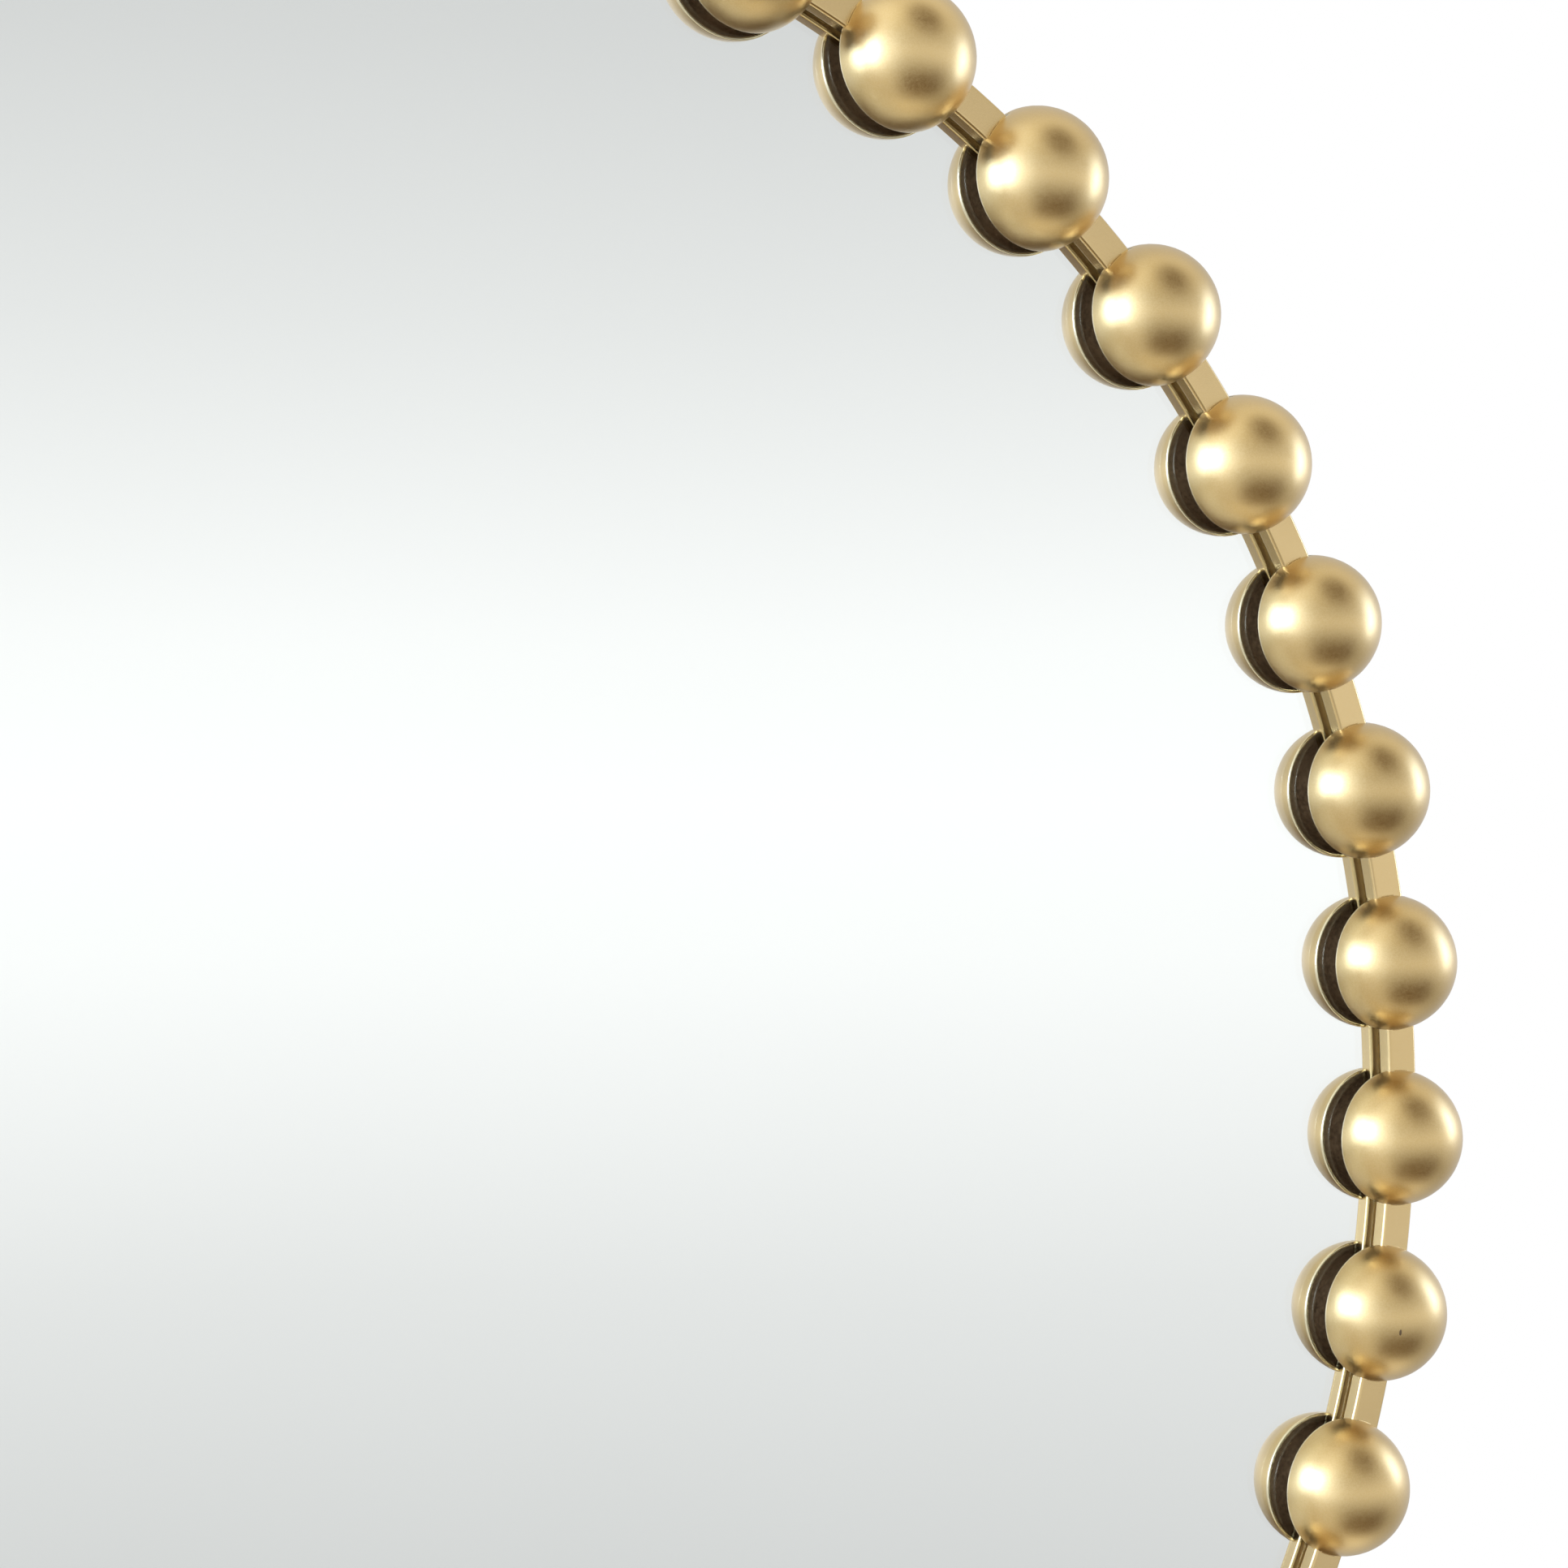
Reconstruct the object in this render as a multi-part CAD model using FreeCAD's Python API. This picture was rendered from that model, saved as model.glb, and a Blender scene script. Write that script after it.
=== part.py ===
import FreeCAD, Part
import math
import os

from FreeCAD import Vector

# Round wall mirror in a ring of half-ball beads, in millimetres.
# It hangs in the XZ plane with +Z up and faces -Y. The origin lies on the wall, behind the mirror's centre.
# A depth is the distance from the wall towards the room.

# Bead frame
bead_count = 40
bead_radius = 20.0
bead_wall = 1.0
bead_circle_radius = 330.0
lip_above_glass = 2.6
bar_width = 10.0
bar_thickness = 5.0
bar_shift = 1.4
bar_corner_radius = 1.0
notch_clearance = 0.1

# Glass and backing board
glass_thickness = 3.0
glass_lap = 6.4
glass_arris = 0.4
silver_thickness = 0.2
board_thickness = 9.0
board_inset = 1.0
board_chamfer = 2.0

# Retaining tabs behind the ring
tab_count = 8
tab_width = 16.0
tab_thickness = 1.5
tab_foot_length = 20.0
tab_bend_radius = 1.0
tab_corner_radius = 4.0
tab_edge_clearance = 0.5
tab_hole_from_end = 7.0

# Strap hangers and their D-rings
hanger_spacing = 360.0
hanger_height = 150.0
strap_width = 14.0
strap_thickness = 1.0
strap_length = 42.0
strap_corner_radius = 5.0
strap_neck_radius = 1.5
strap_first_hole = 11.0
strap_second_hole = 32.0
eye_clearance = 0.1
ring_wire_diameter = 3.0
ring_opening_width = 20.0
ring_side_length = 2.0
ring_bend_radius = 3.0
ring_rest_angle = 6.0

# Screws
pan_head_radius = 3.6
pan_head_height = 2.2
pan_head_round = 1.4
flat_head_radius = 3.4
shank_radius = 1.75
tip_length = 2.5
tab_screw_length = 8.5
hanger_screw_length = 9.0
hole_clearance = 0.25
thread_clearance = 0.05
recess_width = 0.9
recess_length = 3.6
recess_depth = 1.2

# Wall bumpers
bumper_angles = (30.0, 150.0, 210.0, 330.0)
bumper_inset = 41.8
bumper_radius = 8.0
bumper_height = 6.0
bumper_round = 1.5

# Depths of the layers, from the wall outwards
board_back = bumper_height
board_front = board_back + board_thickness
glass_back = board_front + silver_thickness
glass_front = glass_back + glass_thickness
bar_front = glass_front + bar_thickness
lip_depth = glass_front + lip_above_glass

# Radii shared by the ring, the glass, the tabs and the bumpers
bar_middle_radius = bead_circle_radius + bar_shift
bar_inner_radius = bar_middle_radius - bar_width / 2
bar_outer_radius = bar_middle_radius + bar_width / 2
glass_radius = bar_inner_radius + glass_lap
board_radius = glass_radius - board_inset
tab_leg_radius = glass_radius + tab_edge_clearance
tab_foot_end = tab_leg_radius + tab_thickness - tab_foot_length
tab_hole_radius = tab_foot_end + tab_hole_from_end
bumper_circle_radius = board_radius - bumper_inset

# Places of the two hangers: the middle of each D-ring's straight bar
wire_radius = ring_wire_diameter / 2
eye_bore_radius = wire_radius + eye_clearance
eye_outer_radius = eye_bore_radius + strap_thickness
hanger_axis_depth = board_back - eye_outer_radius
strap_back = eye_outer_radius - 2 * strap_thickness
hanger_sides = {"left": -hanger_spacing / 2, "right": hanger_spacing / 2}

wall_centre = Vector(0, 0, 0)
to_room = Vector(0, -1, 0)


def seen_point(x, depth, z=0.0):
    return Vector(x, -depth, z)


def rounded_wire(corners):
    """Closed wire through (point, radius) corners, with a tangent arc at each radius above zero."""
    stretches = []
    for index, (corner, radius) in enumerate(corners):
        if radius == 0:
            stretches.append((corner, None, corner))
            continue
        to_last = (corners[index - 1][0] - corner).normalize()
        to_next = (corners[(index + 1) % len(corners)][0] - corner).normalize()
        half_angle = to_last.getAngle(to_next) / 2
        reach = radius / math.tan(half_angle)
        bisector = (to_last + to_next).normalize()
        middle = corner + bisector * (radius / math.sin(half_angle) - radius)
        stretches.append((corner + to_last * reach, middle, corner + to_next * reach))
    edges = []
    for index, (start, middle, end) in enumerate(stretches):
        last_end = stretches[index - 1][2]
        if last_end.distanceToPoint(start) > Part.Precision.confusion():
            edges.append(Part.makeLine(last_end, start))
        if middle is not None:
            edges.append(Part.Arc(start, middle, end).toShape())
    return Part.Wire(edges)


def disc(radius, back, front):
    return Part.makeCylinder(radius, front - back, seen_point(0, back), to_room)


def turned_to(shape, angle):
    """Copy of a shape turned about the mirror's axis, anticlockwise as seen from the room."""
    copy = shape.copy()
    copy.rotate(wall_centre, to_room, angle)
    return copy


def moved_to(shape, x, depth, z):
    copy = shape.copy()
    copy.translate(seen_point(x, depth, z))
    return copy


def bead_angle(index):
    """Beads run clockwise from the top of the ring, as seen from the room."""
    return 90.0 - index * 360.0 / bead_count


def tab_angles():
    """Each tab sits behind the bead nearest its even share of the ring, out of sight from the room."""
    return [bead_angle(round(index * bead_count / tab_count)) for index in range(tab_count)]


def frame_ring():
    corners = [
        (seen_point(bar_inner_radius, glass_front), bar_corner_radius),
        (seen_point(bar_outer_radius, glass_front), bar_corner_radius),
        (seen_point(bar_outer_radius, bar_front), bar_corner_radius),
        (seen_point(bar_inner_radius, bar_front), bar_corner_radius),
    ]
    section = Part.Face(rounded_wire(corners))
    return section.revolve(wall_centre, to_room, 360)


def bead():
    """Hollow half ball with a rounded lip, notched to sit astride the bar, at three o'clock."""
    lip_radius = bead_wall / 2
    inner_radius = bead_radius - bead_wall
    outer_reach = math.sqrt(bead_radius ** 2 - lip_radius ** 2)
    inner_reach = math.sqrt(inner_radius ** 2 - lip_radius ** 2)
    slant = math.sqrt(0.5)

    def section_point(across, up):
        return seen_point(bead_circle_radius + across, lip_depth + up)

    crown = section_point(0, bead_radius)
    roof = section_point(0, inner_radius)
    outer_lip = section_point(outer_reach, lip_radius)
    inner_lip = section_point(inner_reach, lip_radius)
    outer_middle = section_point(bead_radius * slant, bead_radius * slant)
    inner_middle = section_point(inner_radius * slant, inner_radius * slant)
    section = Part.Wire([
        Part.Arc(crown, outer_middle, outer_lip).toShape(),
        Part.Arc(outer_lip, section_point(bead_radius - lip_radius, 0), inner_lip).toShape(),
        Part.Arc(inner_lip, inner_middle, roof).toShape(),
        Part.makeLine(roof, crown),
    ])
    shell = Part.Face(section).revolve(section_point(0, 0), to_room, 360)
    notch = disc(bar_outer_radius + notch_clearance, glass_front, bar_front)
    notch = notch.cut(disc(bar_inner_radius - notch_clearance, glass_front, bar_front))
    return shell.cut(notch)


def mirror_glass():
    corners = [
        (seen_point(0, glass_back), 0),
        (seen_point(glass_radius - glass_arris, glass_back), 0),
        (seen_point(glass_radius, glass_back + glass_arris), 0),
        (seen_point(glass_radius, glass_front - glass_arris), 0),
        (seen_point(glass_radius - glass_arris, glass_front), 0),
        (seen_point(0, glass_front), 0),
    ]
    return Part.Face(rounded_wire(corners)).revolve(wall_centre, to_room, 360)


def silver_coat():
    return disc(glass_radius - glass_arris, board_front, glass_back)


def screw_hole(radius, length):
    """Hole through or into the board side, from the seat at the origin towards the room."""
    return Part.makeCylinder(radius, length, wall_centre, to_room)


def backing_board():
    corners = [
        (seen_point(0, board_back), 0),
        (seen_point(board_radius - board_chamfer, board_back), 0),
        (seen_point(board_radius, board_back + board_chamfer), 0),
        (seen_point(board_radius, board_front), 0),
        (seen_point(0, board_front), 0),
    ]
    board = Part.Face(rounded_wire(corners)).revolve(wall_centre, to_room, 360)
    pilot_radius = shank_radius + thread_clearance
    tab_pilot = moved_to(
        screw_hole(pilot_radius, tab_screw_length - tab_thickness), tab_hole_radius, board_back, 0)
    holes = [turned_to(tab_pilot, angle) for angle in tab_angles()]
    strap_pilot = screw_hole(pilot_radius, hanger_screw_length - 2 * strap_thickness)
    for x, z in strap_hole_places():
        holes.append(moved_to(strap_pilot, x, board_back, z))
    return board.cut(holes)


def retaining_tab():
    """Bent steel tab at three o'clock: its leg stands on the ring's back, its foot laps the board."""
    foot_back = board_back - tab_thickness
    leg_outer = tab_leg_radius + tab_thickness
    corners = [
        (seen_point(tab_leg_radius, glass_front), 0),
        (seen_point(tab_leg_radius, board_back), tab_bend_radius),
        (seen_point(tab_foot_end, board_back), 0),
        (seen_point(tab_foot_end, foot_back), 0),
        (seen_point(leg_outer, foot_back), tab_bend_radius + tab_thickness),
        (seen_point(leg_outer, glass_front), 0),
    ]
    half_width = tab_width / 2
    strip = Part.Face(rounded_wire(corners)).extrude(Vector(0, 0, tab_width))
    strip.translate(Vector(0, 0, -half_width))
    plan = Part.Face(rounded_wire([
        (seen_point(leg_outer, 0, -half_width), 0),
        (seen_point(leg_outer, 0, half_width), 0),
        (seen_point(tab_foot_end, 0, half_width), tab_corner_radius),
        (seen_point(tab_foot_end, 0, -half_width), tab_corner_radius),
    ]))
    hole = moved_to(screw_hole(shank_radius + hole_clearance, tab_thickness), tab_hole_radius, foot_back, 0)
    return strip.common(plan.extrude(to_room * glass_front)).cut(hole)


def strap_hole_places():
    places = []
    for x in hanger_sides.values():
        places.append((x, hanger_height - strap_first_hole))
        places.append((x, hanger_height - strap_second_hole))
    return places


def hanger_strap():
    """Steel strip folded double, with its fold rolled into an eye about the origin, board towards -Y."""
    half_width = strap_width / 2
    plan = Part.Face(rounded_wire([
        (Vector(-half_width, -eye_outer_radius, 0), 0),
        (Vector(half_width, -eye_outer_radius, 0), 0),
        (Vector(half_width, -eye_outer_radius, -strap_length), strap_corner_radius),
        (Vector(-half_width, -eye_outer_radius, -strap_length), strap_corner_radius),
    ]))
    layers = plan.extrude(Vector(0, 2 * strap_thickness, 0))
    eye_end = Vector(-half_width, 0, 0)
    along_axis = Vector(1, 0, 0)
    eye = Part.makeCylinder(eye_outer_radius, strap_width, eye_end, along_axis)
    strap = layers.fuse(eye).removeSplitter()
    neck_y = -strap_back
    neck = Vector(0, neck_y, -math.sqrt(eye_outer_radius ** 2 - neck_y ** 2))
    neck_edge = min(strap.Edges, key=lambda edge: edge.CenterOfMass.distanceToPoint(neck))
    strap = strap.makeFillet(strap_neck_radius, [neck_edge])
    cuts = [Part.makeCylinder(eye_bore_radius, strap_width, eye_end, along_axis)]
    for drop in (strap_first_hole, strap_second_hole):
        place = Vector(0, neck_y, -drop)
        cuts.append(Part.makeCylinder(shank_radius + hole_clearance, 2 * strap_thickness, place, to_room))
        sink_radius = flat_head_radius + thread_clearance
        sink_depth = flat_head_radius - shank_radius
        cuts.append(Part.makeCone(sink_radius, sink_radius - sink_depth, sink_depth, place, to_room))
    return strap.cut(cuts)


def d_ring():
    """Bent wire D about the origin: the straight bar lies in the strap's eye and the bow hangs down."""
    half_width = (ring_opening_width + ring_wire_diameter) / 2
    height = ring_bend_radius + ring_side_length + half_width
    path = rounded_wire([
        (Vector(-half_width, 0, 0), ring_bend_radius),
        (Vector(half_width, 0, 0), ring_bend_radius),
        (Vector(half_width, 0, -height), half_width),
        (Vector(-half_width, 0, -height), half_width),
    ])
    start = path.Edges[0].valueAt(path.Edges[0].FirstParameter)
    heading = path.Edges[0].tangentAt(path.Edges[0].FirstParameter)
    section = Part.Wire(Part.makeCircle(wire_radius, start, heading))
    ring = path.makePipeShell([section], True, False)
    ring.rotate(wall_centre, Vector(1, 0, 0), ring_rest_angle)
    return ring


def cross_recess(top):
    """Cross-shaped driver recess that sinks from the given height into a screw head."""
    bars = []
    for length, width in ((recess_length, recess_width), (recess_width, recess_length)):
        corner = Vector(-length / 2, top - recess_depth, -width / 2)
        bars.append(Part.makeBox(length, recess_depth, width, corner))
    return bars[0].fuse(bars[1])


def shank(length):
    """Screw shank from the origin towards the room, with a pointed end."""
    straight = Part.makeCylinder(shank_radius, length - tip_length, wall_centre, to_room)
    tip_start = seen_point(0, length - tip_length)
    tip = Part.makeCone(shank_radius, 0, tip_length, tip_start, to_room)
    return straight.fuse(tip)


def pan_screw():
    section = Part.Face(rounded_wire([
        (Vector(0, 0, 0), 0),
        (Vector(pan_head_radius, 0, 0), 0),
        (Vector(pan_head_radius, pan_head_height, 0), pan_head_round),
        (Vector(0, pan_head_height, 0), 0),
    ]))
    head = section.revolve(wall_centre, to_room, 360)
    return head.fuse(shank(tab_screw_length)).removeSplitter().cut(cross_recess(pan_head_height))


def flat_screw():
    head_depth = flat_head_radius - shank_radius
    head = Part.makeCone(flat_head_radius, shank_radius, head_depth, wall_centre, to_room)
    return head.fuse(shank(hanger_screw_length)).removeSplitter().cut(cross_recess(0))


def tab_screws():
    screw = moved_to(pan_screw(), tab_hole_radius, board_back - tab_thickness, 0)
    return Part.makeCompound([turned_to(screw, angle) for angle in tab_angles()])


def hanger_screws():
    seat_depth = board_back - 2 * strap_thickness
    return Part.makeCompound([moved_to(flat_screw(), x, seat_depth, z) for x, z in strap_hole_places()])


def wall_bumpers():
    corners = [
        (seen_point(0, 0), 0),
        (seen_point(bumper_radius, 0), bumper_round),
        (seen_point(bumper_radius, bumper_height), 0),
        (seen_point(0, bumper_height), 0),
    ]
    bumper = Part.Face(rounded_wire(corners)).revolve(wall_centre, to_room, 360)
    bumper.translate(Vector(bumper_circle_radius, 0, 0))
    pads = []
    for angle in bumper_angles:
        pads.append(turned_to(bumper, angle))
    return Part.makeCompound(pads)


def save(name, shape):
    shape.exportStep(os.path.join("parts", name + ".step"))


os.makedirs("parts", exist_ok=True)

save("frame_ring", frame_ring())
first_bead = bead()
for index in range(bead_count):
    save("bead_%02d" % (index + 1), turned_to(first_bead, bead_angle(index)))

save("mirror_glass", mirror_glass())
save("silver_coat", silver_coat())
save("backing_board", backing_board())

first_tab = retaining_tab()
for index, angle in enumerate(tab_angles()):
    save("retaining_tab_%d" % (index + 1), turned_to(first_tab, angle))
save("tab_screws", tab_screws())

for side, x in hanger_sides.items():
    save("hanger_strap_" + side, moved_to(hanger_strap(), x, hanger_axis_depth, hanger_height))
    save("d_ring_" + side, moved_to(d_ring(), x, hanger_axis_depth, hanger_height))
save("hanger_screws", hanger_screws())
save("wall_bumpers", wall_bumpers())
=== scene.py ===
import math

import bmesh
import bpy
from mathutils import Matrix, Vector


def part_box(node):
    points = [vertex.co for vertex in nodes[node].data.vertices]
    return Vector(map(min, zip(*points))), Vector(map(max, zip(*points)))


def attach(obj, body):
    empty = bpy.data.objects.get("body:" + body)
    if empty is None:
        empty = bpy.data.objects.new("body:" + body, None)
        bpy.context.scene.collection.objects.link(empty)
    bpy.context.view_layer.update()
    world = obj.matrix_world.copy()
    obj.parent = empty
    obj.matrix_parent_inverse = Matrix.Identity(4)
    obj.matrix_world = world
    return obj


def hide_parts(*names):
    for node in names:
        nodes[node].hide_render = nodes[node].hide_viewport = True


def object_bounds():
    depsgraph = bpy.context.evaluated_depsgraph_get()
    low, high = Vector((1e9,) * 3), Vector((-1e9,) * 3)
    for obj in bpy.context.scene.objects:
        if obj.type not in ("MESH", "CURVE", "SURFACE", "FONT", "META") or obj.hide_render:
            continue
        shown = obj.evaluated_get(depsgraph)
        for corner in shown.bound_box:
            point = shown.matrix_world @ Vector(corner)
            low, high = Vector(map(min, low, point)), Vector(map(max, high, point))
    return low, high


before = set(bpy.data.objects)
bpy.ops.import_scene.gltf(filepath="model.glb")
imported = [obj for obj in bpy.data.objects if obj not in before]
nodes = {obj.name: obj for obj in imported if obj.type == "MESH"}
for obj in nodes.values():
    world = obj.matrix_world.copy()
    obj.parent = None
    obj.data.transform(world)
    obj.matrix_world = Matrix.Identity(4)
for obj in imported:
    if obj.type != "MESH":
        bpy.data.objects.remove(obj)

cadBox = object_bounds()
scene = bpy.context.scene
scene.view_settings.view_transform = "Standard"
scene.cycles.max_bounces = 32               # light runs to and fro between the bar's foot and the silvering
scene.cycles.glossy_bounces = 16
scene.cycles.transmission_bounces = 24
millimetre = 0.001
print("frame loaded:", len(nodes), "nodes")


# small helpers for node trees and meshes

def addNode(tree, kind, inputs=None, **settings):
    node = tree.nodes.new(kind)
    for name, value in settings.items():
        setattr(node, name, value)
    for key, value in (inputs or {}).items():
        if isinstance(value, bpy.types.NodeSocket):
            tree.links.new(value, node.inputs[key])
        else:
            node.inputs[key].default_value = value
    return node


def mathNode(tree, operation, first, second=0.0):
    return addNode(tree, "ShaderNodeMath", {0: first, 1: second}, operation=operation).outputs[0]


def mapRange(tree, value, fromLow, fromHigh, toLow, toHigh, smooth=True):
    node = addNode(tree, "ShaderNodeMapRange", {
        "Value": value, "From Min": fromLow, "From Max": fromHigh, "To Min": toLow, "To Max": toHigh,
    }, interpolation_type="SMOOTHSTEP" if smooth else "LINEAR")
    return node.outputs["Result"]


def mixColour(tree, factor, first, second, blend="MIX"):
    node = addNode(tree, "ShaderNodeMix", {0: factor, 6: first, 7: second},
                   data_type="RGBA", blend_type=blend)
    return node.outputs[2]


def noise(tree, place, scale, detail, roughness=0.5):
    return addNode(tree, "ShaderNodeTexNoise", {
        "Vector": place, "Scale": scale, "Detail": detail, "Roughness": roughness}).outputs[0]


def squeezed(tree, place, scale):
    return addNode(tree, "ShaderNodeMapping", {"Vector": place, "Scale": scale}).outputs[0]


def reachAlong(tree, place, plane):
    # distance from the middle, measured in the plane whose two axes are 1
    flat = addNode(tree, "ShaderNodeVectorMath", {0: place, 1: plane}, operation="MULTIPLY").outputs[0]
    return addNode(tree, "ShaderNodeVectorMath", {0: flat}, operation="LENGTH").outputs["Value"]


def bumpNode(tree, height, distance, strength=1.0):
    return addNode(tree, "ShaderNodeBump", {
        "Strength": strength, "Distance": distance, "Height": height}).outputs[0]


def opaque(colour):
    return (*colour, 1.0)


def newGroup(name, inputs, outputs):
    group = bpy.data.node_groups.new(name, "ShaderNodeTree")
    for label, kind, value in inputs:
        socket = group.interface.new_socket(label, in_out="INPUT", socket_type=kind)
        if value is not None:
            socket.default_value = value
    for label, kind in outputs:
        group.interface.new_socket(label, in_out="OUTPUT", socket_type=kind)
    return group, addNode(group, "NodeGroupInput").outputs, addNode(group, "NodeGroupOutput").inputs


def placeGroup(tree, group, inputs):
    return addNode(tree, "ShaderNodeGroup", inputs, node_tree=group).outputs


def newMaterial(name, colour, viewRoughness=0.5, metal=0.0):
    material = bpy.data.materials.new(name)
    material.use_nodes = True
    material.diffuse_color = opaque(colour)
    material.roughness = viewRoughness
    material.metallic = metal
    tree = material.node_tree
    shader = tree.nodes["Principled BSDF"]
    place = addNode(tree, "ShaderNodeTexCoord").outputs["Object"]
    return material, tree, shader, place


def linkShader(tree, shader, colour, roughness, normal=None):
    tree.links.new(colour, shader.inputs["Base Color"])
    tree.links.new(roughness, shader.inputs["Roughness"])
    if normal is not None:
        tree.links.new(normal, shader.inputs["Normal"])


def setShader(shader, values):
    for label, value in values.items():
        shader.inputs[label].default_value = value


def addObject(name, mesh):
    piece = bpy.data.objects.new(name, mesh)
    scene.collection.objects.link(piece)
    return piece


def setMaterial(node, material):
    node.data.materials.clear()
    node.data.materials.append(material)


# shader groups that several finishes share

sprayDrift = {"scale": 14.0, "detail": 2.0}    # slow change of tone over the paint


def buildSprayGroup():
    # sprayed metallic paint: fine flakes, a slow orange peel and a slow drift of tone
    group, given, out = newGroup("sprayedPaint", [
        ("Vector", "NodeSocketVector", None),
        ("Flake Size", "NodeSocketFloat", 0.0004),
        ("Peel Size", "NodeSocketFloat", 0.006),
        ("Peel Share", "NodeSocketFloat", 0.5),
    ], [("Height", "NodeSocketFloat"), ("Flake", "NodeSocketFloat"), ("Drift", "NodeSocketFloat")])
    place = given["Vector"]
    flakeScale = mathNode(group, "DIVIDE", 1.0, given["Flake Size"])
    peelScale = mathNode(group, "DIVIDE", 1.0, given["Peel Size"])
    grain = noise(group, place, flakeScale, 1.0)
    cells = addNode(group, "ShaderNodeTexVoronoi", {"Vector": place, "Scale": flakeScale})
    flake = addNode(group, "ShaderNodeSeparateColor", {0: cells.outputs["Color"]}).outputs[0]
    peel = noise(group, place, peelScale, 0.0)
    drift = noise(group, place, sprayDrift["scale"], sprayDrift["detail"])
    peelPart = mathNode(group, "MULTIPLY", peel, given["Peel Share"])
    group.links.new(mathNode(group, "ADD", grain, peelPart), out["Height"])
    group.links.new(flake, out["Flake"])
    group.links.new(drift, out["Drift"])
    return group


def buildMarkGroup():
    # sparse small marks: a few cells of a cell pattern hold one short dash each
    group, given, out = newGroup("smallMarks", [
        ("Vector", "NodeSocketVector", None),
        ("Spacing", "NodeSocketFloat", 0.012),
        ("Mark Size", "NodeSocketFloat", 0.03),
        ("Share", "NodeSocketFloat", 0.2),
        ("Stretch", "NodeSocketVector", (1.0, 1.0, 1.0)),
    ], [("Mask", "NodeSocketFloat")])
    stretched = addNode(group, "ShaderNodeVectorMath", {
        0: given["Vector"], 1: given["Stretch"]}, operation="MULTIPLY").outputs[0]
    scale = mathNode(group, "DIVIDE", 1.0, given["Spacing"])
    cells = addNode(group, "ShaderNodeTexVoronoi", {"Vector": stretched, "Scale": scale})
    pick = addNode(group, "ShaderNodeSeparateColor", {0: cells.outputs["Color"]}).outputs[0]
    chosen = mathNode(group, "LESS_THAN", pick, given["Share"])
    near = mathNode(group, "LESS_THAN", cells.outputs["Distance"], given["Mark Size"])
    group.links.new(mathNode(group, "MULTIPLY", chosen, near), out["Mask"])
    return group


sprayGroup = buildSprayGroup()
markGroup = buildMarkGroup()


# finishes; a pair with From in its name gives the levels of a noise between which the effect sets in

goldFinish = {
    "bead": {"colour": (0.735, 0.53, 0.215), "deepColour": (0.675, 0.475, 0.18), "roughness": 0.36,
             "roughnessSpread": 0.10, "flakeShare": 0.16},
    "bar": {"colour": (0.69, 0.50, 0.215), "deepColour": (0.645, 0.46, 0.185), "roughness": 0.25,
            "roughnessSpread": 0.04, "flakeShare": 0.06},
    "flakeColour": (0.96, 0.78, 0.44), "flake": 0.00030, "peel": 0.007, "peelShare": 3.0, "bump": 0.000012,
    # the pale lip colour is a painted highlight along the bead lips; the lip gloss factor makes that same
    # band smoother
    "driftFrom": (0.35, 0.65), "lipHighlightColour": (0.95, 0.84, 0.58), "lipHighlightGloss": 0.6, "coatIor": 1.65,
    "nickColour": (0.20, 0.13, 0.06), "nickSpacing": 0.011, "nickSize": 0.035, "nickShare": 0.16,
    "nickStretch": (1.0, 0.6, 0.4),
}


def makeSatinGold(name, coat, onBeads):
    # the drawn bar is smoother under its paint than the pressed beads
    look = goldFinish
    material, tree, shader, place = newMaterial(name, coat["colour"], coat["roughness"], 1.0)
    spray = placeGroup(tree, sprayGroup, {
        "Vector": place, "Flake Size": look["flake"], "Peel Size": look["peel"],
        "Peel Share": look["peelShare"]})
    nicks = placeGroup(tree, markGroup, {
        "Vector": place, "Spacing": look["nickSpacing"], "Mark Size": look["nickSize"],
        "Share": look["nickShare"], "Stretch": look["nickStretch"]})["Mask"]
    colour = mixColour(tree, mapRange(tree, spray["Drift"], *look["driftFrom"], 0.0, 1.0),
                       opaque(coat["deepColour"]), opaque(coat["colour"]))
    colour = mixColour(tree, mapRange(tree, spray["Flake"], 0.0, 1.0, 0.0, coat["flakeShare"]),
                       colour, opaque(look["flakeColour"]))
    if onBeads:                             # no two beads took quite the same tone
        tone = addNode(tree, "ShaderNodeAttribute", attribute_name="beadTone").outputs["Fac"]
        grey = addNode(tree, "ShaderNodeCombineColor", {0: tone, 1: tone, 2: tone}).outputs[0]
        colour = mixColour(tree, 1.0, colour, grey, "MULTIPLY")
    colour = mixColour(tree, nicks, colour, opaque(look["nickColour"]))
    low = coat["roughness"] - coat["roughnessSpread"] / 2
    high = coat["roughness"] + coat["roughnessSpread"] / 2
    roughness = mapRange(tree, spray["Flake"], 0.0, 1.0, low, high, smooth=False)
    if onBeads:                             # painted highlight: a pale band along the lip, where its rounded edge would catch the light; it is also glossier there
        worn = addNode(tree, "ShaderNodeAttribute", attribute_name="lipHighlight").outputs["Fac"]
        colour = mixColour(tree, worn, colour, opaque(look["lipHighlightColour"]))
        polish = mapRange(tree, worn, 0.0, 1.0, 1.0, look["lipHighlightGloss"])
        roughness = mathNode(tree, "MULTIPLY", roughness, polish)
    linkShader(tree, shader, colour, roughness, bumpNode(tree, spray["Height"], look["bump"]))
    setShader(shader, {
        "Metallic": 1.0, "Coat Weight": 1.0, "Coat Roughness": coat["roughness"],
        "Coat IOR": look["coatIor"]})
    return material


# the lining colours are partly painted shade: darkened so the hollow looks as dark as its shade
liningAndShadeFinish = {
    "colour": (0.23, 0.155, 0.09), "streak": (0.36, 0.25, 0.15), "speck": (0.75, 0.62, 0.42),
    "roughness": (0.45, 0.65), "metal": 0.6, "flake": 0.0012, "peel": 0.010, "peelShare": 0.8,
    "streakFrom": (0.6, 1.1), "speckSpacing": 0.004, "speckSize": 0.05, "speckShare": 0.35, "bump": 0.00003,
}


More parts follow.
